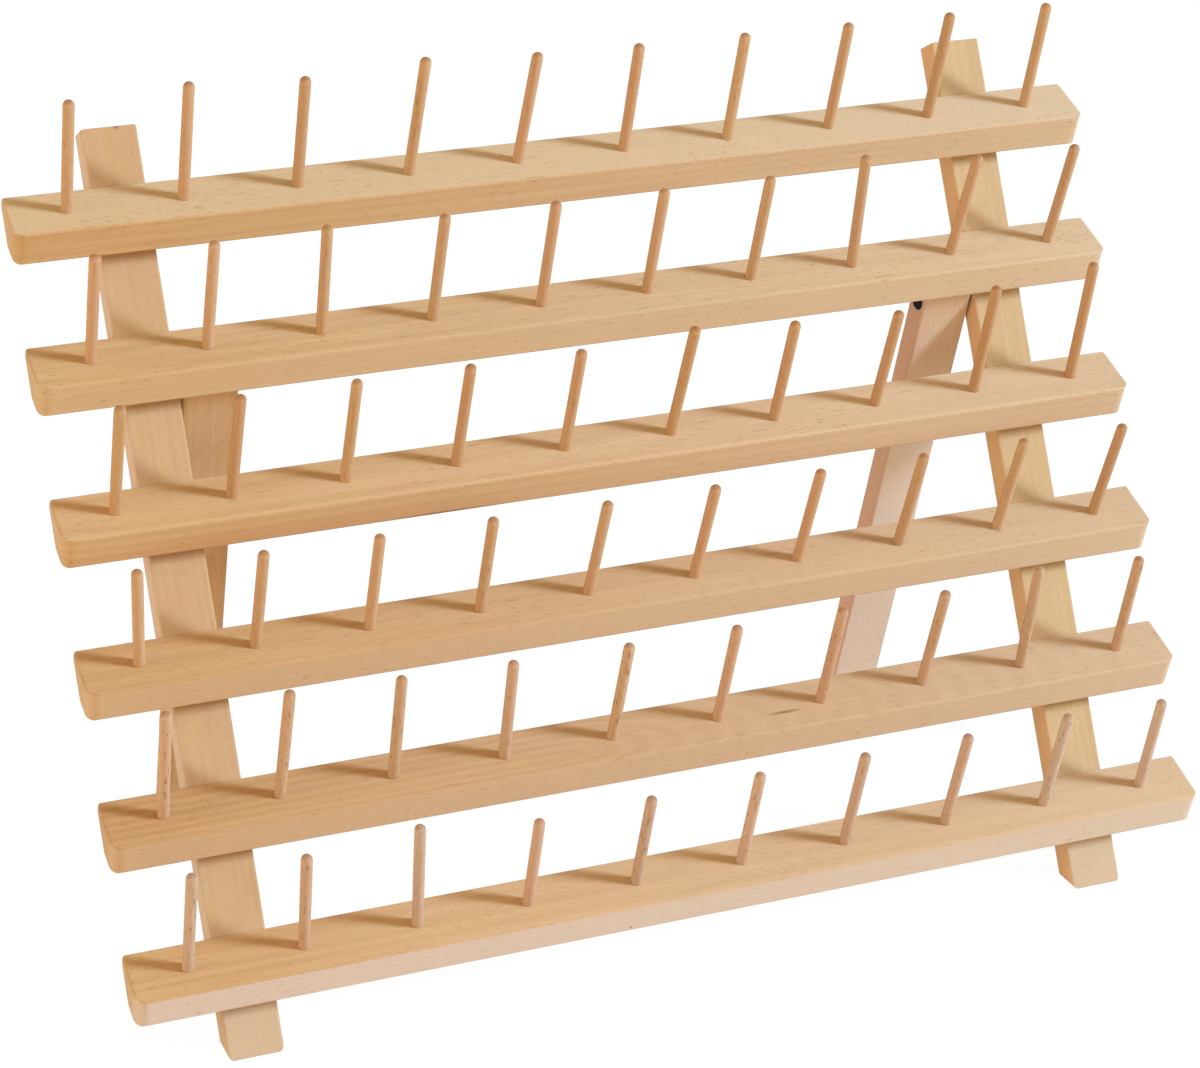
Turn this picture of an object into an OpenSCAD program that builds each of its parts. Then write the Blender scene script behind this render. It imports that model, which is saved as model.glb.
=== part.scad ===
// Folding wooden rack for thread spools.
// Rows of sloping rails carry dowel pegs. Two uprights hold the rails and lean back
// against two legs, which swing flat behind the rails when the rack is put away.

/* [Rails] */
// Number of rails, one above the other
rail_count = 6; // [3:1:8]
// Length of each rail
rail_length = 400; // [200:10:600]
// Width of a rail's sloping top face
rail_width = 22; // [20:0.5:30]
// Thickness of a rail
rail_thickness = 12.5; // [11:0.5:13.5]
// Slope of a rail against the uprights, which also sets how far the legs open
rail_tilt = 46; // [40:1:48]
// Distance from one rail to the next, along the uprights
rail_pitch = 51; // [45:1:70]

/* [Pegs] */
// Number of pegs on each rail
pegs_per_rail = 10; // [4:1:12]
// Distance from the last peg to the end of its rail
peg_margin = 20; // [10:1:40]
// Diameter of a peg
peg_diameter = 4; // [3:0.5:6]
// Length of a peg above its rail
peg_height = 45; // [25:1:60]
// Step from a peg in to the tenon that holds it in its rail
peg_shoulder = 0.3; // [0.2:0.05:0.5]
// Depth of a peg's tenon in its rail
peg_depth = 7; // [5:0.5:7.5]

/* [Uprights and legs] */
// Width of the strip that uprights and legs are cut from
strip_width = 19.5; // [16:0.5:26]
// Thickness of that strip
strip_thickness = 10; // [9.5:0.5:12]
// How far an upright stands above the back edge of the top rail
top_rise = 20; // [10:1:40]
// How far an upright's foot lies below the back edge of the bottom rail
foot_drop = 42; // [36:1:60]
// Backward lean of the uprights
lean = 25; // [15:1:30]
// Radius of the eased edges on rails, uprights and legs
edge_ease = 1; // [0.6:0.1:1.8]
// Radius of the rounded front corners at the rails' ends
end_round = 4.5; // [2:0.5:6]
// Radius of the rounded corners at the rails' backs and at the feet
corner_round = 2.5; // [1.5:0.1:4]

/* [Pivots] */
// How far a leg's pivot lies below the back edge of the second rail
pivot_drop = 22; // [21:0.5:26]
// Diameter of a pivot bolt
bolt_diameter = 5; // [4:0.5:5.5]
// Diameter of a pivot bolt's countersunk head
bolt_head = 8.5; // [7:0.5:8.5]
// Diameter of the washer between upright and leg
washer_diameter = 9; // [8:0.5:10]
// Thickness of that washer
washer_thickness = 0.5; // [0.4:0.1:2]
// Diameter of the sleeve nut in an upright's outer face
nut_diameter = 7; // [6.5:0.5:7.5]
// Length of a sleeve nut
nut_length = 8; // [6:0.5:10]
// Width of the hexagon socket in a bolt's head
socket_width = 3; // [2.5:0.5:3.5]

/* [Screws] */
// Diameter of a rail screw's shank
screw_diameter = 3.5; // [3:0.5:4]
// Diameter of a rail screw's countersunk head
screw_head = 7; // [6:0.5:8]
// Length of a rail screw
screw_length = 16; // [14:1:18]
// Width of the cross recess in a screw's head and of the slot in a sleeve nut
cross_width = 0.9; // [0.6:0.1:1.2]

/* [Clearances] */
// Free gap between a leg and what it swings past
swing_gap = 0.3; // [0.2:0.05:0.5]
// Gap round tenons, screws and bolts in their holes
hole_gap = 0.05; // [0.03:0.01:0.08]

/* [Hidden] */
$fn = 48;
// Straight steps in each eased corner and in each round tip
corner_steps = 6;
tip_steps = 6;
// Overshoot of cutting tools past the faces that they cut
over = 1;

// Places along the rack: x along the rails, z up the uprights, y from their front faces backwards
peg_pitch = (rail_length - 2 * peg_margin) / (pegs_per_rail - 1);
upright_x = rail_length / 2 - peg_margin - peg_pitch / 2;
upright_length = top_rise + (rail_count - 1) * rail_pitch + foot_drop;
rail_back = rail_thickness / cos(rail_tilt);
tenon_radius = peg_diameter / 2 - peg_shoulder;
screw_z = -0.68 * rail_back;
pivot_y = strip_thickness / 2 + swing_gap;
pivot_z = foot_drop + (rail_count - 2) * rail_pitch - pivot_drop;
// The pivot's distance to the second rail's underside, less the gap, is the leg's length above its pivot
leg_head = pivot_drop * cos(rail_tilt) + pivot_y * sin(rail_tilt) - rail_thickness - swing_gap;
leg_x = upright_x - strip_width - washer_thickness - swing_gap;
bolt_reach = 2 * strip_width + washer_thickness + swing_gap;
slot_depth = 1.5 * cross_width;
bolt_radius = bolt_diameter / 2;
// Sawn ends and edges are eased less than planed ones
sawn_ease = edge_ease / 4;

// The open leg and the pegs stand at the same angle to the vertical
leg_angle = rail_tilt - lean;
pivot_height = pivot_z * cos(lean) - pivot_y * sin(lean);

// Front and rear ends of the standing rack, which centre it on the origin
tip_along = peg_height - peg_diameter / 2;
tip_y = -rail_width / 2 * cos(rail_tilt) - tip_along * sin(rail_tilt);
tip_z = foot_drop - rail_width / 2 * sin(rail_tilt) + tip_along * cos(rail_tilt);
peg_front = tip_y * cos(lean) + tip_z * sin(lean) - peg_diameter / 2;
rail_front = -rail_width * cos(leg_angle) + foot_drop * sin(lean);
rear = pivot_y * cos(lean) + pivot_z * sin(lean)
     + pivot_height * tan(leg_angle) + strip_thickness / 2 / cos(leg_angle);
centre_y = (min(peg_front, rail_front) + rear) / 2;

beech = [0.87, 0.73, 0.55];
beech_upright = [0.85, 0.70, 0.51];
beech_leg = [0.80, 0.66, 0.55];
dowel = [0.79, 0.57, 0.36];
steel = [0.72, 0.72, 0.70];
black = [0.07, 0.06, 0.06];

SIDES = [["left", -1], ["right", 1]];

function unit(v) = v / norm(v);

// Points of an arc round c, from angle a to angle b
function arc(c, r, a, b, steps) =
    [for (i = [0:steps]) c + r * [cos(a + (b - a) * i / steps), sin(a + (b - a) * i / steps)]];

// The corner at p rounded by a radius r, between its neighbours q and s
function eased_corner(q, p, s, r) =
    let (u = unit(q - p), v = unit(s - p), half = acos(u * v) / 2)
    let (c = p + unit(u + v) * r / sin(half))
    let (from = p + u * r / tan(half) - c, to = p + v * r / tan(half) - c)
    let (a = atan2(from.y, from.x), turn = atan2(to.y, to.x) - a)
    arc(c, r, a, a + (turn > 180 ? turn - 360 : turn < -180 ? turn + 360 : turn), corner_steps);

// A convex outline with each corner rounded by its own radius, or left sharp where that is 0
function eased(points, radii) =
    let (n = len(points))
    [for (i = [0:n - 1], p = radii[i] > 0
        ? eased_corner(points[(i + n - 1) % n], points[i], points[(i + 1) % n], radii[i])
        : [points[i]]) p];

function block(x, y) = [[-x, -y], [x, -y], [x, y], [-x, y]] / 2;
function same(r) = [r, r, r, r];

// Section of the strip that uprights and legs are cut from
function strip_section() = eased(block(strip_width, strip_thickness), same(edge_ease));

// Height of a rail's back edge, counted from the top rail down
function rail_z(i) = foot_drop + (rail_count - i) * rail_pitch;

// The frame of the leaning uprights, with its origin at the front edge of their feet
module on_rack() {
    translate([0, -centre_y, 0])
        rotate([-lean, 0, 0])
            children();
}

// The frame of one rail: its origin is the middle of the rail's back top edge and z is along the pegs
module on_rail(i) {
    on_rack()
        translate([0, 0, rail_z(i)])
            rotate([rail_tilt, 0, 0])
                children();
}

// The frame of an open leg, with its origin on the pivot at the middle of the leg's width
module on_leg(side) {
    on_rack()
        translate([side * leg_x, pivot_y, pivot_z])
            rotate([rail_tilt, 0, 0])
                children();
}

// The frame of a pivot: z runs along the bolt, inwards from the outer face of the upright
module on_pivot(side) {
    on_rack()
        translate([side * (upright_x + strip_width / 2), pivot_y, pivot_z])
            rotate([0, -90 * side, 0])
                children();
}

// An outline in the y-z plane carried along x
module along_x(length, points) {
    rotate([90, 0, 90])
        linear_extrude(length, center = true)
            polygon(points);
}

// An outline in the x-z plane carried along y
module along_y(length, points) {
    rotate([90, 0, 0])
        linear_extrude(length, center = true)
            polygon(points);
}

// An outline in the x-y plane carried along z
module along_z(length, points) {
    linear_extrude(length, center = true)
        polygon(points);
}

// One rail: a strip with its back sawn to lie flat on the uprights, and blind holes for the pegs
module rail(i) {
    foot = rail_thickness * tan(rail_tilt);
    section = [[0, 0], [-foot, -rail_thickness], [-rail_width, -rail_thickness], [-rail_width, 0]];
    section_ease = [sawn_ease, sawn_ease, edge_ease, edge_ease];
    corner_eases = [end_round, end_round, corner_round, corner_round];
    depth = 2 * (rail_width + over);
    color(beech)
        on_rail(i)
            difference() {
                intersection() {
                    along_x(rail_length, eased(section, section_ease));
                    translate([0, -rail_width / 2, 0])
                        along_z(depth, eased(block(rail_length, rail_width), corner_eases));
                    translate([0, 0, -rail_thickness / 2])
                        along_y(depth, eased(block(rail_length, rail_thickness), same(edge_ease)));
                }
                each_peg()
                    translate([0, 0, -peg_depth])
                        cylinder(r = tenon_radius + hole_gap, h = peg_depth + over);
                rail_screw_holes();
            }
}

// The pilot holes for a rail's two screws, in the rail's frame
module rail_screw_holes() {
    rotate([-rail_tilt, 0, 0])
        for (side = SIDES)
            translate([side[1] * upright_x, strip_thickness, screw_z])
                rotate([90, 0, 0])
                    cylinder(d = screw_diameter + 2 * hole_gap, h = screw_length);
}

// Copies at each peg of a rail, in the rail's frame
module each_peg() {
    for (j = [0:pegs_per_rail - 1])
        translate([(j - (pegs_per_rail - 1) / 2) * peg_pitch, -rail_width / 2, 0])
            children();
}

// One dowel peg with a round tip, its shoulder on z = 0 and its tenon in the rail below
module peg() {
    r = peg_diameter / 2;
    rotate_extrude()
        polygon(concat(
            [[0, -peg_depth], [tenon_radius, -peg_depth], [tenon_radius, 0], [r, 0]],
            arc([0, peg_height - r], r, 0, 90, tip_steps)
        ));
}

// The pegs of one rail, as separate dowels
module pegs_row(i) {
    color(dowel)
        on_rail(i)
            each_peg()
                peg();
}

// One upright: a strip with a square top, a foot sawn level with the floor and holes for its fixings
module upright(side) {
    foot = strip_thickness * tan(lean);
    profile = [[0, 0], [strip_thickness, foot], [strip_thickness, upright_length], [0, upright_length]];
    face = eased(block(strip_width, 2 * upright_length), same(edge_ease));
    color(beech_upright)
        difference() {
            intersection() {
                on_rack()
                    translate([side * upright_x, 0, 0])
                        intersection() {
                            along_x(strip_width, eased(profile, same(sawn_ease)));
                            translate([0, strip_thickness / 2, 0])
                                along_z(3 * upright_length, strip_section());
                            along_y(4 * strip_thickness, face);
                        }
                level_foot(side * upright_x);
            }
            on_pivot(side)
                bolt_hole();
            each_screw(side)
                screw_hole();
        }
}

// The space that a strip takes above the floor at x, with its corners rounded at the floor
module level_foot(x) {
    tall = 2 * upright_length;
    translate([x, 0, tall / 2])
        along_y(4 * upright_length, eased(block(strip_width, tall), [corner_round, corner_round, 0, 0]));
}

// The hole through upright and leg for a pivot bolt, its sleeve nut and its head, in the pivot's frame
module bolt_hole() {
    hole = bolt_diameter + 2 * hole_gap;
    translate([0, 0, -over]) {
        cylinder(d = hole, h = bolt_reach + 2 * over);
        cylinder(d = nut_diameter + 2 * hole_gap, h = nut_length + over);
    }
    translate([0, 0, bolt_reach])
        rotate([180, 0, 0])
            countersink(hole, bolt_head + 2 * hole_gap);
}

// A right-angled countersink from diameter a below to diameter b at z = 0, cut clear above it
module countersink(a, b) {
    cylinder(d1 = b, d2 = a, h = (b - a) / 2);
    translate([0, 0, -over])
        cylinder(d = b, h = over);
}

// One leg: rounded at the front of its head to swing clear, flat behind as a stop, level at its foot
module leg(side) {
    back = strip_thickness / 2;
    heel = -(pivot_height + back * sin(leg_angle)) / cos(leg_angle);
    toe = -(pivot_height - back * sin(leg_angle)) / cos(leg_angle);
    shoulder = asin(back / leg_head);
    profile = concat(
        [[-back, toe], [back, heel], [back, leg_head]],
        arc([0, 0], leg_head, 90, 90 + shoulder, 2 * tip_steps)
    );
    color(beech_leg)
        difference() {
            intersection() {
                on_leg(side)
                    intersection() {
                        along_x(strip_width, profile);
                        along_z(4 * pivot_height, strip_section());
                    }
                level_foot(side * leg_x);
            }
            on_pivot(side)
                bolt_hole();
        }
}

// A bolt through leg, washer and upright, its countersunk head flush with the leg's inner face
module pivot_bolt(side) {
    cone = (bolt_head - bolt_diameter) / 2;
    reach = bolt_reach - slot_depth - hole_gap;
    color(black)
        on_pivot(side)
            translate([0, 0, bolt_reach])
                rotate([180, 0, 0])
                    difference() {
                        rotate_extrude()
                            polygon([[0, 0], [bolt_head / 2, 0], [bolt_radius, cone],
                                [bolt_radius, reach], [0, reach]]);
                        translate([0, 0, -over])
                            cylinder(d = socket_width / cos(30), h = cone + over, $fn = 6);
                    }
}

// The washer that holds a leg off its upright
module pivot_washer(side) {
    color(steel)
        on_pivot(side)
            translate([0, 0, strip_width])
                difference() {
                    cylinder(d = washer_diameter, h = washer_thickness);
                    translate([0, 0, -over])
                        cylinder(d = bolt_diameter + 2 * hole_gap, h = washer_thickness + 2 * over);
                }
}

// A sleeve nut let into an upright's outer face, slotted for a screwdriver
module pivot_nut(side) {
    color(steel)
        on_pivot(side)
            difference() {
                cylinder(d = nut_diameter, h = nut_length - hole_gap);
                translate([0, 0, -over])
                    cylinder(d = bolt_diameter + 2 * hole_gap, h = nut_length + 2 * over);
                cube([nut_diameter + over, cross_width, 2 * slot_depth], center = true);
            }
}

// Copies at each rail screw of one upright, with z forwards from the upright's back face
module each_screw(side) {
    for (i = [1:rail_count])
        on_rack()
            translate([side * upright_x, strip_thickness, rail_z(i) + screw_z])
                rotate([90, 0, 0])
                    children();
}

// The hole and countersink for one rail screw
module screw_hole() {
    translate([0, 0, -over])
        cylinder(d = screw_diameter + 2 * hole_gap, h = strip_thickness + 2 * over);
    countersink(screw_diameter + 2 * hole_gap, screw_head + 2 * hole_gap);
}

// One countersunk screw with a pointed end and a cross recess
module screw() {
    r = screw_diameter / 2;
    cone = screw_head / 2 - r;
    difference() {
        rotate_extrude()
            polygon([[0, 0], [screw_head / 2, 0], [r, cone], [r, screw_length - 2 * r], [0, screw_length]]);
        for (turn = [0, 90])
            rotate([0, 0, turn])
                cube([screw_head / 2, cross_width, cone], center = true);
    }
}

// The screws that hold the rails to one upright
module rail_screws(side) {
    color(steel)
        each_screw(side)
            screw();
}

for (side = SIDES)
    upright(side[1]);
for (i = [1:rail_count])
    rail(i);
for (i = [1:rail_count])
    pegs_row(i);
for (side = SIDES)
    rail_screws(side[1]);
for (side = SIDES)
    leg(side[1]);
for (side = SIDES)
    pivot_bolt(side[1]);
for (side = SIDES)
    pivot_washer(side[1]);
for (side = SIDES)
    pivot_nut(side[1]);
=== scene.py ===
from math import cos, pi, radians, sin

import bpy
import numpy as np
from mathutils import Matrix, Vector


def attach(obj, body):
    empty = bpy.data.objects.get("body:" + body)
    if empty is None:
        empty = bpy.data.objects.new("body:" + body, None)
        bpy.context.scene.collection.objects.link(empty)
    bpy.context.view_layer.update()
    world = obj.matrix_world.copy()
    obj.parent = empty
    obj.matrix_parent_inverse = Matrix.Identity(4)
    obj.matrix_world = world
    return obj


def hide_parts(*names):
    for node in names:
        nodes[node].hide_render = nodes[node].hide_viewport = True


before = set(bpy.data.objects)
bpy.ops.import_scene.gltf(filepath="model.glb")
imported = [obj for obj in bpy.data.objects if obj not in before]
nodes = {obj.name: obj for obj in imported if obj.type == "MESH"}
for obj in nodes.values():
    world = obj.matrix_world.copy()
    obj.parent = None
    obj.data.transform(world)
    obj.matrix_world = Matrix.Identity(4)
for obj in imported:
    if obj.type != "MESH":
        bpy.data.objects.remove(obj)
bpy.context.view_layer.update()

# Sizes of the rack that the looks follow, in metres and radians
MM = 0.001
LEAN = radians(25)
SLOPE = radians(21)
RAILS = 6
RAIL_PITCH = 51 * MM
RAIL_WIDTH = 22 * MM
FOOT_DROP = 42 * MM
CENTRE_Y = 85.983 * MM
UPRIGHT_INNER = 150.25 * MM
UPRIGHT_OUTER = 169.75 * MM
LEG_INNER = 129.95 * MM
PEGS = 10
PEG_PITCH = 40 * MM
PEG_RADIUS = 2 * MM
PEG_LENGTH = 45 * MM
TENON_RADIUS = 1.7 * MM
TENON_DEPTH = 7 * MM

# The pegs are not all alike. Each row's usual peg, and by their places from the left the pegs that
# stand out from it: what each is longer than planned, and how far its tip leans to the right, in millimetres
USUAL_PEG = {1: (-1.0, 0.0), 2: (-1.0, 0.5), 3: (-1.5, 1.0), 4: (-3.5, 2.0), 5: (-0.5, 0.5), 6: (-0.5, 0.0)}
STRAY_PEGS = {1: {2: (1.5, 0.0), 4: (2.0, 2.0), 5: (-0.5, 2.5), 10: (-1.0, -1.0)},
              2: {3: (0.0, -1.0), 8: (3.5, -3.5), 9: (-2.0, 2.0), 10: (-2.5, 1.5)},
              3: {1: (0.5, 0.5), 6: (2.0, 2.5), 8: (-3.0, 1.5), 9: (2.5, -1.0), 10: (7.5, -3.0)},
              4: {1: (-2.5, -2.0), 2: (-2.5, 0.5), 3: (-3.0, 0.5), 4: (-3.0, 0.5)},
              5: {1: (3.5, -1.0), 2: (4.0, 0.5), 3: (2.0, -1.0), 4: (0.5, -1.5), 9: (4.0, -3.5),
                  10: (0.5, -2.0)},
              6: {1: (1.0, -0.5), 2: (0.0, -2.0), 3: (4.5, -3.5), 4: (-3.5, -0.5), 5: (-2.5, 0.0),
                  9: (0.5, -0.5), 10: (-1.0, -2.0)}}

# A peg's mesh: points in a ring, steps up the stem, rings of the tip, and how far up the stem its second ring
# is, as a share. The stem swells by a share of its radius, in a wave of so many radians from foot to tip
RING_POINTS = 24
STEM_STEPS = 8
TIP_RINGS = 6
SECOND_RING = 0.004
SWELL = 0.01
SWELL_WAVE = 5

# Directions: along the rails to the right, up, from a rail's front face to the uprights, and along the pegs
ACROSS = (1.0, 0.0, 0.0)
UPWARD = (0.0, 0.0, 1.0)
DEPTH = (0.0, cos(SLOPE), sin(SLOPE))
RISE = (0.0, -sin(SLOPE), cos(SLOPE))

# Ways the grain lies, as turns that bring it onto the x axis of the pattern. The pegs stand as the legs do
RAIL_GRAIN = (-SLOPE, 0, 0)
UPRIGHT_GRAIN = (LEAN, pi / 2, 0)
LEG_GRAIN = (-SLOPE, pi / 2, 0)

# How often each pattern of the wood repeats in a metre along, across and out of the grain
CLOUDS = (7, 42, 42)
FIBRES = (16, 560, 560)
LAYERS = (4.5, 90, 90)
MOTTLE = (55, 260, 260)
PORES = (900, 1500, 1500)
SPECKS = (260, 1500, 1500)
FLECK_PATCHES = (25, 60, 60)

# How often each pattern of the steel repeats in a metre along the rails, to the back and up
TURNING_MARKS = (900, 2600, 2600)
STAINS = (180, 180, 180)

# How steeply the growth rings climb through a piece where they show as arches
ARCH_CLIMB = 0.28


def colour(r, g, b):
    return (r, g, b, 1.0)


WHITE = colour(1, 1, 1)
DARK_FLECK = colour(0.30, 0.15, 0.065)
YELLOW_MOTTLE = colour(0.97, 1.0, 0.72)
PINK_MOTTLE = colour(1.0, 0.86, 0.88)
PINK_DOWEL = colour(0.71, 0.435, 0.295)
YELLOW_DOWEL = colour(0.75, 0.55, 0.335)
PALE_END = colour(0.56, 0.50, 0.39)


class Finish:
    """A material or a world in the making. Each call adds nodes and gives back an outlet of the last."""

    def __init__(self, holder):
        self.holder = holder
        self.holder.use_nodes = True
        self.tree = holder.node_tree
        self.tree.nodes.clear()

    def add(self, kind, inlets=None, outlet=0, **settings):
        node = self.tree.nodes.new("ShaderNode" + kind)
        for key, value in settings.items():
            setattr(node, key, value)
        for key, value in (inlets or {}).items():
            if isinstance(value, bpy.types.NodeSocket):
                self.tree.links.new(value, node.inputs[key])
            else:
                node.inputs[key].default_value = value
        return node.outputs[outlet] if node.outputs else None

    def math(self, operation, a, b=0.0):
        return self.add("Math", {0: a, 1: b}, operation=operation)

    def span(self, value, low, high, to_low=0.0, to_high=1.0):
        inlets = {"Value": value, "From Min": low, "From Max": high, "To Min": to_low, "To Max": to_high}
        return self.add("MapRange", inlets, clamp=True)

    def mix(self, share, a, b, blend="MIX"):
        return self.add("Mix", {0: share, 6: a, 7: b}, 2, data_type="RGBA", blend_type=blend)

    def stretched(self, place, repeats, offset=(0, 0, 0)):
        return self.add("Mapping", {"Vector": place, "Scale": repeats, "Location": offset})

    def noise(self, place, detail=2.0, rough=0.5, distortion=0.0):
        inlets = {"Vector": place, "Scale": 1.0, "Detail": detail, "Roughness": rough,
                  "Distortion": distortion}
        return self.add("TexNoise", inlets)

    def spot(self, place, centre, radii, lie):
        """1 at the centre of an oval spot that lies along the grain, 0 outside it."""
        moved = self.add("VectorMath", {0: place, 1: centre}, operation="SUBTRACT")
        turned = self.add("Mapping", {"Vector": moved, "Rotation": lie})
        scaled = self.stretched(turned, tuple(1 / r for r in radii))
        return self.span(self.add("VectorMath", {0: scaled}, "Value", operation="LENGTH"), 1.0, 0.3)

    def seen(self):
        """1 for what shows to the eye, mirrored or through glass, 0 for the light that falls on things."""
        eye = self.add("LightPath", outlet="Is Camera Ray")
        mirrored = self.add("LightPath", outlet="Is Glossy Ray")
        through = self.add("LightPath", outlet="Is Transmission Ray")
        return self.math("MAXIMUM", self.math("MAXIMUM", eye, mirrored), through)

    def end(self, shader, kind="OutputMaterial"):
        self.add(kind, {"Surface": shader})
        return self.holder


def growth_rings(f, grain, heart):
    """Faint rings about the grain. With a heart they start there, and to its right they show as arches."""
    if heart:
        from_heart = f.add("VectorMath", {0: grain, 1: heart}, operation="SUBTRACT")
        along, across, out = (f.add("SeparateXYZ", {"Vector": from_heart}, outlet=axis) for axis in "XYZ")
        climb = f.math("MAXIMUM", f.math("SUBTRACT", f.math("MULTIPLY", along, ARCH_CLIMB), out), 0.0)
        layers = f.stretched(f.add("CombineXYZ", {"X": along, "Y": across, "Z": climb}), LAYERS)
        wander = 4.0
    else:
        layers = f.stretched(grain, LAYERS, (0.3, 2.1, 1.4))
        wander = 9.0
    inlets = {"Vector": layers, "Scale": 1.0, "Distortion": wander, "Detail": 2.0, "Detail Scale": 0.6,
              "Detail Roughness": 0.5}
    return f.add("TexWave", inlets, wave_type="RINGS", rings_direction="X", wave_profile="SIN")


def peg_by_peg(f, body, deep):
    """Pegs that differ: each is deeper, pinker or yellower by what noise makes of its number."""
    number = f.add("Attribute", outlet="Fac", attribute_name="peg")
    depth = f.add("TexWhiteNoise", {"W": number}, outlet="Value", noise_dimensions="1D")
    shifted = f.math("ADD", number, 0.5)
    hue = f.add("TexWhiteNoise", {"W": shifted}, outlet="Value", noise_dimensions="1D")
    body = f.mix(f.span(depth, 0.25, 1.0, 0.0, 0.8), body, deep)
    body = f.mix(f.span(hue, 0.35, 1.0, 0.0, 0.55), body, PINK_DOWEL)
    return f.mix(f.span(hue, 0.35, 0.0, 0.0, 0.25), body, YELLOW_DOWEL)


def faded(f, place, body, fades):
    """Tones that come in over the wood, each by its share and as far as all its limits let it."""
    for tone, share, limits in fades:
        for direction, start, reached in limits:
            way = f.add("VectorMath", {0: place, 1: direction}, "Value", operation="DOT_PRODUCT")
            share = f.math("MULTIPLY", f.span(way, start, reached), share)
        body = f.mix(share, body, tone)
    return body


def end_grained(f, body, deep, lie, dowel, pale_ends):
    """The cut ends, which face along the grain: paler, or darker, and most so on dowels."""
    facing = f.add("TexCoord", outlet="Normal")
    turned = f.add("Mapping", {"Vector": facing, "Rotation": lie}, vector_type="NORMAL")
    along = f.math("ABSOLUTE", f.add("SeparateXYZ", {"Vector": turned}, outlet="X"))
    if pale_ends:
        return f.mix(f.span(along, 0.3, 0.9, 0.0, 0.3), body, PALE_END)
    if dowel:
        darker = f.span(along, 0.35, 0.9, 0.0, 0.6)
    else:
        darker = f.span(along, 0.75, 0.97, 0.0, 0.3)
    return f.mix(darker, body, deep, "MULTIPLY")


def beech(name, pale, deep, lie, figure=0.2, flecks=0.2, spots=(), fades=(), dowel=False, pale_ends=False,
          heart=None):
    """Planed beech: broad clouds, faint growth rings, fine fibres, pores and short dark ray flecks.

    The more figure, the more the rings show and the less the fibres. The spots are dark ovals in the wood.
    Each of the fades is a tone, the share of it that the wood takes on, and limits: each is a direction and
    the places along it where the tone starts and where it is reached. The heart is where the growth rings
    come up to the surface, along, across and out of the grain.
    """
    f = Finish(bpy.data.materials.new(name))
    place = f.add("TexCoord", outlet="Object")
    grain = f.add("Mapping", {"Vector": place, "Rotation": lie})
    clouds = f.noise(f.stretched(grain, CLOUDS), 2.0, 0.5, 0.4)
    fibres = f.noise(f.stretched(grain, FIBRES), 4.0, 0.6, 0.2)
    rings = growth_rings(f, grain, heart)
    tone = f.math("MULTIPLY", f.span(clouds, 0.3, 0.7), 0.42)
    tone = f.math("ADD", tone, f.math("MULTIPLY", f.span(fibres, 0.36, 0.64), 0.48 - 0.3 * figure))
    tone = f.math("ADD", tone, f.math("MULTIPLY", rings, 0.1 + 0.3 * figure))
    body = f.mix(tone, pale, deep)
    mottle = f.noise(f.stretched(grain, MOTTLE, (7, 2, 4)), 2.0, 0.6)
    body = f.mix(f.span(mottle, 0.45, 0.7, 0.0, 0.3), body, YELLOW_MOTTLE, "MULTIPLY")
    body = f.mix(f.span(mottle, 0.5, 0.3, 0.0, 0.3), body, PINK_MOTTLE, "MULTIPLY")
    if dowel:
        body = peg_by_peg(f, body, deep)
    body = faded(f, place, body, fades)
    pores = f.noise(f.stretched(grain, PORES, (5, 3, 1)), 2.0, 0.6)
    body = f.mix(f.span(pores, 0.35, 0.65, 0.0, 0.13), body, deep, "MULTIPLY")
    specks = f.noise(f.stretched(grain, SPECKS), 1.0, 0.5)
    patches = f.noise(f.stretched(grain, FLECK_PATCHES, (3, 1, 2)), 1.0)
    flecked = f.math("MULTIPLY", f.span(specks, 0.62, 0.72), f.span(patches, 0.35, 0.6, 0.3, 1.0))
    body = f.mix(f.math("MULTIPLY", flecked, flecks), body, DARK_FLECK)
    for centre, radii in spots:
        body = f.mix(f.math("MULTIPLY", f.spot(place, centre, radii, lie), 0.85), body, DARK_FLECK)
    body = end_grained(f, body, deep, lie, dowel, pale_ends)
    rough = f.span(fibres, 0.3, 0.7, 0.54, 0.70)
    relief = f.add("Bump", {"Strength": 0.3, "Distance": 0.1 * MM, "Height": fibres})
    shader = f.add("BsdfPrincipled", {"Base Color": body, "Roughness": rough, "Normal": relief,
                                      "Specular IOR Level": 0.15})
    return f.end(shader)


def steel(name, tint, rough_low, rough_high, metallic=1.0, shine=0.5):
    """Metal with fine turning marks and a slightly uneven gloss, bare or under a dull coat."""
    f = Finish(bpy.data.materials.new(name))
    place = f.add("TexCoord", outlet="Object")
    marks = f.noise(f.stretched(place, TURNING_MARKS), 3.0, 0.6)
    stains = f.noise(f.stretched(place, STAINS), 2.0)
    shade = f.mix(f.span(stains, 0.3, 0.7, 0.0, 0.4), tint, colour(*(0.7 * c for c in tint[:3])))
    relief = f.add("Bump", {"Strength": 0.25, "Distance": 0.05 * MM, "Height": marks})
    shader = f.add("BsdfPrincipled", {"Base Color": shade, "Metallic": metallic, "Normal": relief,
                                      "Specular IOR Level": shine,
                                      "Roughness": f.span(marks, 0.3, 0.7, rough_low, rough_high)})
    return f.end(shader)


def floor_finish():
    """White floor: plain white to the eye and in reflections, and still holding a faint soft shadow."""
    f = Finish(bpy.data.materials.new("pale_floor"))
    lit = f.add("BsdfDiffuse", {"Color": colour(0.9, 0.8, 0.66)})
    shadowed = f.add("BsdfDiffuse", {"Color": colour(0.13, 0.19, 0.33)})
    white = f.add("Emission", {"Color": WHITE, "Strength": 0.92})
    shown = f.add("AddShader", {0: white, 1: shadowed})
    return f.end(f.add("MixShader", {0: f.seen(), 1: lit, 2: shown}))


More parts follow.
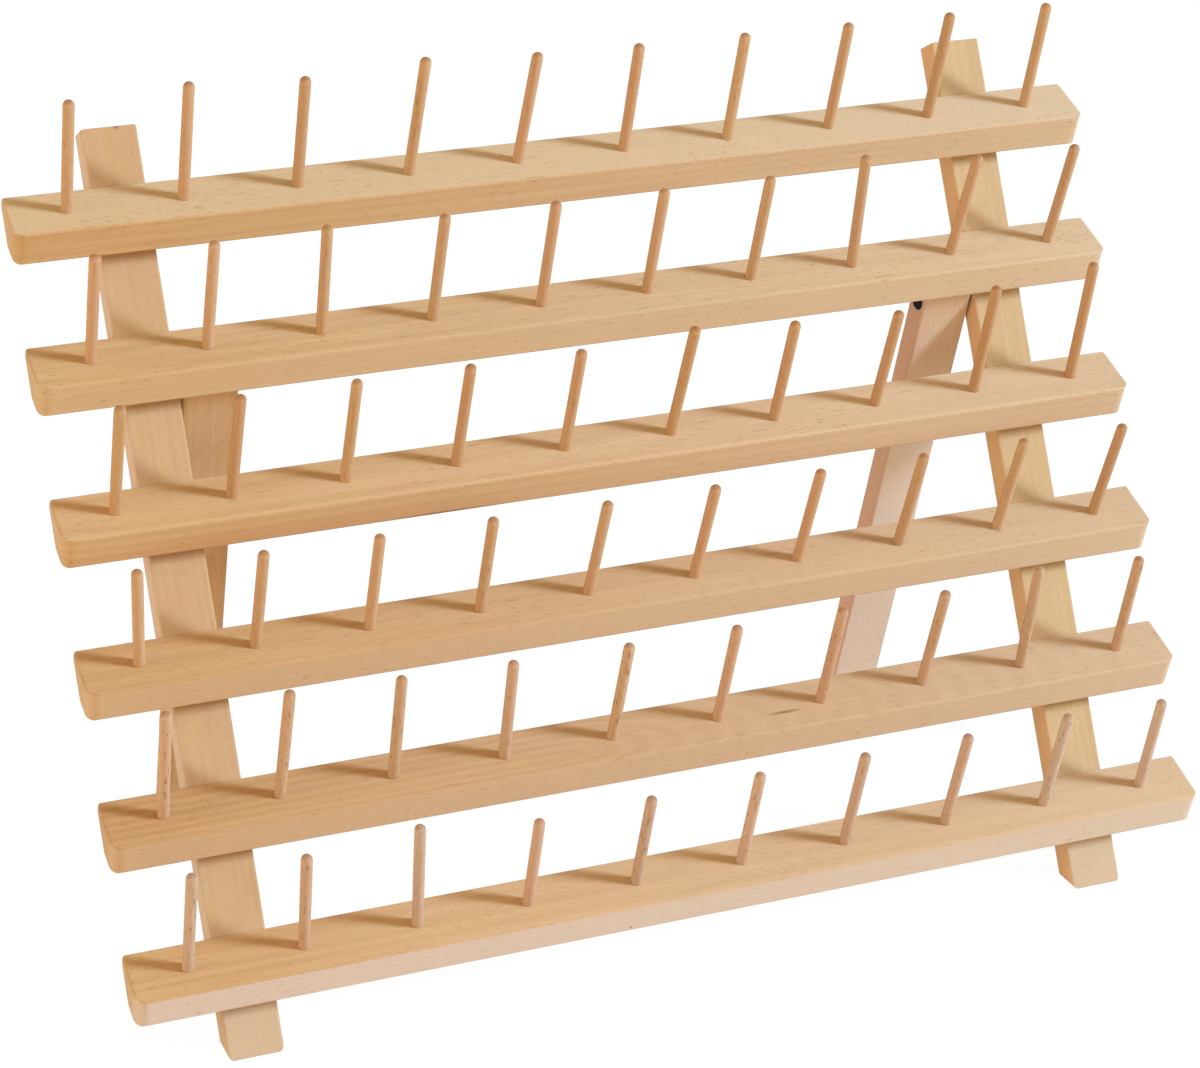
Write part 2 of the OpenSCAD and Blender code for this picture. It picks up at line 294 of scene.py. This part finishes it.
def studio():
    """A warm room, which fills the shade, and white where it shows itself."""
    f = Finish(bpy.data.worlds.new("studio"))
    room = f.add("Background", {"Color": colour(1.0, 0.70, 0.35), "Strength": 0.54})
    white = f.add("Background", {"Color": WHITE, "Strength": 1.0})
    return f.end(f.add("MixShader", {0: f.seen(), 1: room, 2: white}), "OutputWorld")


def finish_node(name, material):
    nodes[name].data.materials.clear()
    nodes[name].data.materials.append(material)


def put(name, data):
    """A new object of that data, in the scene."""
    thing = bpy.data.objects.new(name, data)
    bpy.context.scene.collection.objects.link(thing)
    return thing


def on_rail(row, points):
    """Points of a row's rail brought into the rack: turned by the slope, then moved up the leaning upright.

    The rail's own frame has its origin at the back top edge and its z along the pegs.
    """
    up = FOOT_DROP + (RAILS - row) * RAIL_PITCH
    x, y, z = np.moveaxis(points, -1, 0)
    back = up * sin(LEAN) - CENTRE_Y + y * cos(SLOPE) - z * sin(SLOPE)
    return np.stack([x, back, up * cos(LEAN) + y * sin(SLOPE) + z * cos(SLOPE)], -1)


def turned_faces(count, rings):
    """Faces of closed turned pieces: a pole, rings of points, a pole, numbered piece by piece.

    A point and the next one in its ring make a wall with the two above them, and a cap with the pole.
    """
    point = np.arange(RING_POINTS)
    following = (point + 1) % RING_POINTS
    low = 1 + RING_POINTS * np.arange(rings - 1)[:, None]
    high = low + RING_POINTS
    walls = np.stack([low + point, low + following, high + following, high + point], -1)
    foot = np.stack([0 * point, 1 + following, 1 + point], -1)
    last = 1 + RING_POINTS * (rings - 1)
    head = np.stack([last + point, last + following, 0 * point + last + RING_POINTS], -1)
    start = (np.arange(count) * (RING_POINTS * rings + 2))[:, None, None]
    walls = (walls.reshape(1, -1, 4) + start).reshape(-1, 4)
    caps = (np.concatenate([foot, head]) + start).reshape(-1, 3)
    return walls.tolist() + caps.tolist()


def dowels(row, material):
    """A row of pegs: radius against height turned about each peg's axis and leaned sideways with the height.

    The radius is the tenon's below the rail, then the stem's with a slow swell, then a round tip's.
    """
    number = 100 * row + np.arange(PEGS)
    cuts = [STRAY_PEGS[row].get(place, USUAL_PEG[row]) for place in range(1, PEGS + 1)]
    longer, sideways = MM * np.array(cuts).T
    length = PEG_LENGTH + longer
    stem = (length - PEG_RADIUS)[:, None]
    rise = np.concatenate([[0.0, SECOND_RING], np.linspace(0, 1, STEM_STEPS + 1)[1:]])
    tip = np.linspace(0, pi / 2, TIP_RINGS + 2)[1:-1]
    tenon = np.tile([-TENON_DEPTH, 0.0], (PEGS, 1))
    heights = np.concatenate([tenon, stem * rise, stem + PEG_RADIUS * np.sin(tip)], 1)
    swell = 1 + SWELL * np.sin(SWELL_WAVE * rise + number[:, None])
    radii = np.concatenate([np.full(tenon.shape, TENON_RADIUS), PEG_RADIUS * swell,
                            PEG_RADIUS * np.cos(tip) * swell[:, -1:]], 1)
    along = np.clip(heights / length[:, None], 0, 1)
    axis_x = (np.arange(PEGS) - (PEGS - 1) / 2)[:, None] * PEG_PITCH + sideways[:, None] * along
    axis_y = np.full(PEGS, -RAIL_WIDTH / 2)
    turn = np.linspace(0, 2 * pi, RING_POINTS, endpoint=False)
    ring_x = axis_x[..., None] + radii[..., None] * np.cos(turn)
    ring_y = -RAIL_WIDTH / 2 + radii[..., None] * np.sin(turn)
    ring_z = np.broadcast_to(heights[..., None], ring_x.shape)
    rings = np.stack([ring_x, ring_y, ring_z], -1)
    foot = np.stack([axis_x[:, 0], axis_y, heights[:, 0]], -1)[:, None]
    head = np.stack([axis_x[:, -1], axis_y, length], -1)[:, None]
    points = np.concatenate([foot, rings.reshape(PEGS, -1, 3), head], 1)
    mesh = bpy.data.meshes.new(f"pegs_{row}")
    mesh.from_pydata(on_rail(row, points).reshape(-1, 3).tolist(), [], turned_faces(PEGS, heights.shape[1]))
    mark = mesh.attributes.new("peg", "FLOAT", "POINT")
    mark.data.foreach_set("value", np.repeat(number, points.shape[1]).astype(np.float32))
    mesh.polygons.foreach_set("use_smooth", np.ones(len(mesh.polygons), bool))
    mesh.materials.append(material)
    piece = put(f"pegs_{row}", mesh)
    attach(piece, "rack")
    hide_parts(f"pegs_row_{row}")


def front_edge(row):
    """Place of a rail's front face along its depth."""
    return float(np.dot(on_rail(row, np.array([0.0, -RAIL_WIDTH, 0.0])), DEPTH))


def rail_top(row):
    """Place of a rail's top face along its rise."""
    return float(np.dot(on_rail(row, np.zeros(3)), RISE))


def top_painted_light(row, tone, share):
    """Painted light: a paler tone on a rail's top face alone, where the light from above falls most."""
    front, top = front_edge(row), rail_top(row)
    return tone, share, [(DEPTH, front + 0.2 * MM, front + 1.0 * MM), (RISE, top - 1.0 * MM, top - 0.3 * MM)]


def front_painted_bounce(row, tone, share):
    """Painted light: a paler tone on a rail's front face, and round its ends, for light bouncing up from the
    floor.
    """
    front, top = front_edge(row), rail_top(row)
    return tone, share, [(DEPTH, front + 7 * MM, front + 2 * MM), (RISE, top - 0.4 * MM, top - 1.0 * MM)]


def under_fade(row, tone, share):
    """A tone towards a rail's underside."""
    top = rail_top(row)
    return tone, share, [(RISE, top - 5 * MM, top - 11 * MM)]


def edge_painted_shade(row, tone, share):
    """Painted shade on a rail's eased edge between top and front, darkening the light that the rounding
    catches.
    """
    front, top = front_edge(row), rail_top(row)
    return tone, share, [(DEPTH, front + 1.1 * MM, front + 0.5 * MM), (RISE, top - 1.1 * MM, top - 0.5 * MM)]


def painted_side_tone(place, tone, share, more_limits=()):
    """Painted light or painted shade, as its tone is paler or darker, on a strip's face that looks to the
    left, at that place across the rack.
    """
    return tone, share, [(ACROSS, place + 0.9 * MM, place + 0.2 * MM), *more_limits]


# Each rail's pale and deep tone
RAIL_TONES = {1: (colour(0.73, 0.515, 0.305), colour(0.60, 0.375, 0.185)),
              2: (colour(0.75, 0.555, 0.345), colour(0.62, 0.41, 0.22)),
              3: (colour(0.755, 0.535, 0.33), colour(0.62, 0.395, 0.21)),
              4: (colour(0.705, 0.48, 0.28), colour(0.58, 0.35, 0.172)),
              5: (colour(0.68, 0.45, 0.262), colour(0.555, 0.328, 0.163)),
              6: (colour(0.745, 0.52, 0.31), colour(0.61, 0.38, 0.195))}
# Oval marks in the wood: centre, and radii along, across and out of the grain
RAIL_SPOTS = {3: [((-0.067, -0.0199, 0.1578), (26.0 * MM, 1.0 * MM, 1.0 * MM))],
              5: [((0.0448, -0.0595, 0.0794), (7.5 * MM, 0.9 * MM, 0.9 * MM))],
              6: [((-0.0246, -0.0850, 0.0206), (0.7 * MM, 0.7 * MM, 0.7 * MM))]}
# The top rail is painted paler on its top, painted light from the open space above it, and the third is
# redder towards its underside, most in a streak on its left. The front faces of the others are painted paler,
# most of the bottom one, painted light bouncing up from the floor. All are paler towards the right
LOWER_STREAK = (colour(0.60, 0.345, 0.17), 0.6, [(RISE, rail_top(3) - 3 * MM, rail_top(3) - 7 * MM),
                                                 (ACROSS, -20 * MM, -60 * MM),
                                                 (ACROSS, -180 * MM, -150 * MM)])
RIGHT_PALING = (colour(0.755, 0.665, 0.56), 0.5, [(ACROSS, -170 * MM, 180 * MM)])
RAIL_FADES = {1: [top_painted_light(1, colour(0.735, 0.585, 0.395), 0.8)],
              2: [front_painted_bounce(2, colour(0.75, 0.57, 0.39), 0.5)],
              3: [under_fade(3, colour(0.66, 0.40, 0.22), 0.6), LOWER_STREAK],
              4: [front_painted_bounce(4, colour(0.75, 0.57, 0.40), 0.7)],
              5: [front_painted_bounce(5, colour(0.75, 0.57, 0.41), 0.7)],
              6: [front_painted_bounce(6, colour(0.80, 0.71, 0.715), 0.85)]}
RAIL_FIGURE = {3: 0.9, 5: 0.9}
RAIL_HEARTS = {5: (-42 * MM, front_edge(5) + 6 * MM, rail_top(5))}
for row in range(1, RAILS + 1):
    pale, deep = RAIL_TONES[row]
    # Every rail also takes painted shade on its eased top front edge, and then pales towards the right
    fades = RAIL_FADES[row] + [edge_painted_shade(row, deep, 0.45), RIGHT_PALING]
    rail_beech = beech(f"rail_{row}_beech", pale, deep, RAIL_GRAIN, RAIL_FIGURE.get(row, 0.5), 0.35,
                       RAIL_SPOTS.get(row, ()), fades, pale_ends=True, heart=RAIL_HEARTS.get(row))
    finish_node(f"rail_{row}", rail_beech)

# Both uprights are paler at the foot. The left one is painted paler on its outer side, painted light on the
# face that looks to the left, and has a dark mark near the top. The right one is painted paler and redder on
# its inner side, painted warm light reflected onto it. The right leg is painted paler, most at half its
# height, painted light bouncing up from the floor, and darker on its inner side, painted shade
TOP_MARK = ((-0.1575, 0.0486, 0.2868), (1.3 * MM, 2.4 * MM, 1.6 * MM))
FOOT_PALING = (colour(0.655, 0.53, 0.415), 0.65, [(UPWARD, 45 * MM, 18 * MM)])
OUTER_PAINTED_LIGHT = painted_side_tone(-UPRIGHT_OUTER, colour(0.72, 0.60, 0.52), 0.85, [(UPWARD, 20 * MM, 40 * MM)])
left_beech = beech("left_upright_beech", colour(0.655, 0.464, 0.298), colour(0.592, 0.398, 0.233),
                   UPRIGHT_GRAIN, spots=[TOP_MARK], fades=[FOOT_PALING, OUTER_PAINTED_LIGHT])
# The right upright's paler, redder inner side is painted light, warm light reflected onto that face
right_beech = beech("right_upright_beech", colour(0.68, 0.515, 0.33), colour(0.615, 0.443, 0.262),
                    UPRIGHT_GRAIN,
                    fades=[FOOT_PALING, painted_side_tone(UPRIGHT_INNER, colour(0.83, 0.575, 0.37), 0.9)])
tan_leg = beech("tan_leg_beech", colour(0.745, 0.535, 0.345), colour(0.635, 0.42, 0.24), LEG_GRAIN)
# The right leg's paler material and its paler fades are painted light bouncing up from the floor, and its
# darker inner side is painted shade
bounce_lit_leg = beech("bounce_lit_leg_beech", colour(0.80, 0.645, 0.525), colour(0.71, 0.53, 0.42), LEG_GRAIN,
                 fades=[(colour(0.88, 0.80, 0.77), 0.9, [(UPWARD, 188 * MM, 152 * MM)]),
                        (colour(0.74, 0.63, 0.575), 0.9, [(UPWARD, 122 * MM, 75 * MM)]),
                        painted_side_tone(LEG_INNER, colour(0.70, 0.485, 0.435), 0.95)])
bright_steel = steel("bright_steel", colour(0.62, 0.61, 0.59), 0.28, 0.42)
# The washers' dark brown steel is painted shade, for the gap between leg and upright where they sit
washer_painted_shade = steel("washer_painted_shade", colour(0.36, 0.29, 0.22), 0.5, 0.65)
black_steel = steel("black_steel", colour(0.008, 0.007, 0.007), 0.55, 0.7, metallic=0.0, shine=0.04)
for side, upright_beech, leg_beech in (("left", left_beech, tan_leg), ("right", right_beech, bounce_lit_leg)):
    finish_node(f"{side}_upright", upright_beech)
    finish_node(f"{side}_leg", leg_beech)
    finish_node(f"{side}_pivot_bolt", black_steel)
    finish_node(f"{side}_pivot_washer", washer_painted_shade)
    finish_node(f"{side}_pivot_nut", bright_steel)
    finish_node(f"rail_screws_{side}", bright_steel)

# Each row's pegs have a pale and a deep tone, and those of the two lowest rows more flecks
PEG_TONES = {1: (colour(0.71, 0.50, 0.335), colour(0.545, 0.335, 0.186)),
             2: (colour(0.70, 0.495, 0.34), colour(0.545, 0.34, 0.198)),
             3: (colour(0.68, 0.455, 0.28), colour(0.525, 0.31, 0.16)),
             4: (colour(0.70, 0.49, 0.33), colour(0.545, 0.335, 0.192)),
             5: (colour(0.725, 0.545, 0.43), colour(0.56, 0.372, 0.252)),
             6: (colour(0.73, 0.60, 0.55), colour(0.57, 0.425, 0.35))}
PEG_FLECKS = {5: 0.8, 6: 0.65}
for row in range(1, RAILS + 1):
    pale, deep = PEG_TONES[row]
    peg_beech = beech(f"peg_beech_{row}", pale, deep, LEG_GRAIN, flecks=PEG_FLECKS.get(row, 0.4), dowel=True)
    finish_node(f"pegs_row_{row}", peg_beech)
    dowels(row, peg_beech)

# Floor, level with the feet, reaching far past the rack
REACH = 8.0
floor_mesh = bpy.data.meshes.new("floor")
floor_mesh.from_pydata([(-REACH, -REACH, 0), (REACH, -REACH, 0), (REACH, REACH, 0), (-REACH, REACH, 0)],
                       [], [(0, 1, 2, 3)])
floor_mesh.materials.append(floor_finish())
floor = put("floor", floor_mesh)

# Middle of the rack, which the lights look at
MIDDLE = Vector((0, 0, 0.15))


def softbox(name, towards, distance, width, height, power, tint):
    """A soft light of a width and a height that looks at the middle of the rack from a direction."""
    lamp = bpy.data.lights.new(name, "AREA")
    lamp.shape = "RECTANGLE"
    lamp.size = width
    lamp.size_y = height
    lamp.energy = power
    lamp.color = tint
    holder = put(name, lamp)
    direction = Vector(towards).normalized()
    holder.location = MIDDLE + direction * distance
    holder.rotation_euler = direction.to_track_quat("Z", "Y").to_euler()


# Window light from the right, and a warm room that fills the shade, most from the left
softbox("key_light", towards=(1.0, -0.78, 0.695), distance=5.0, width=0.65, height=1.8, power=200.0,
        tint=(0.82, 1.0, 1.13))
softbox("left_fill", towards=(-1.0, -0.15, 0.15), distance=2.0, width=0.9, height=0.9, power=13.0,
        tint=(1.0, 0.82, 0.60))
bpy.context.scene.world = studio()

# Camera at the photograph's place: turned to the right, looking down, with a slight roll
CAMERA_PLACE = (-0.3934, -0.9177 - CENTRE_Y, 0.5621)
CAMERA_TURN = radians(21.32)
CAMERA_DIP = radians(21.74)
CAMERA_ROLL = radians(0.50)
SENSOR_MM = 36.0
LENS_MM = 96.87
ahead = Vector((cos(CAMERA_DIP) * sin(CAMERA_TURN), cos(CAMERA_DIP) * cos(CAMERA_TURN), -sin(CAMERA_DIP)))
level = Vector((cos(CAMERA_TURN), -sin(CAMERA_TURN), 0))
under = ahead.cross(level)
right = cos(CAMERA_ROLL) * level + sin(CAMERA_ROLL) * under
down = ahead.cross(right)
view = bpy.data.cameras.new("photo_camera")
view.sensor_fit = "HORIZONTAL"
view.sensor_width = SENSOR_MM
view.lens = LENS_MM
camera = put("photo_camera", view)
camera.matrix_world = Matrix.Translation(CAMERA_PLACE) @ Matrix((right, -down, -ahead)).transposed().to_4x4()
bpy.context.scene.camera = camera
bpy.context.scene.view_settings.view_transform = "Standard"
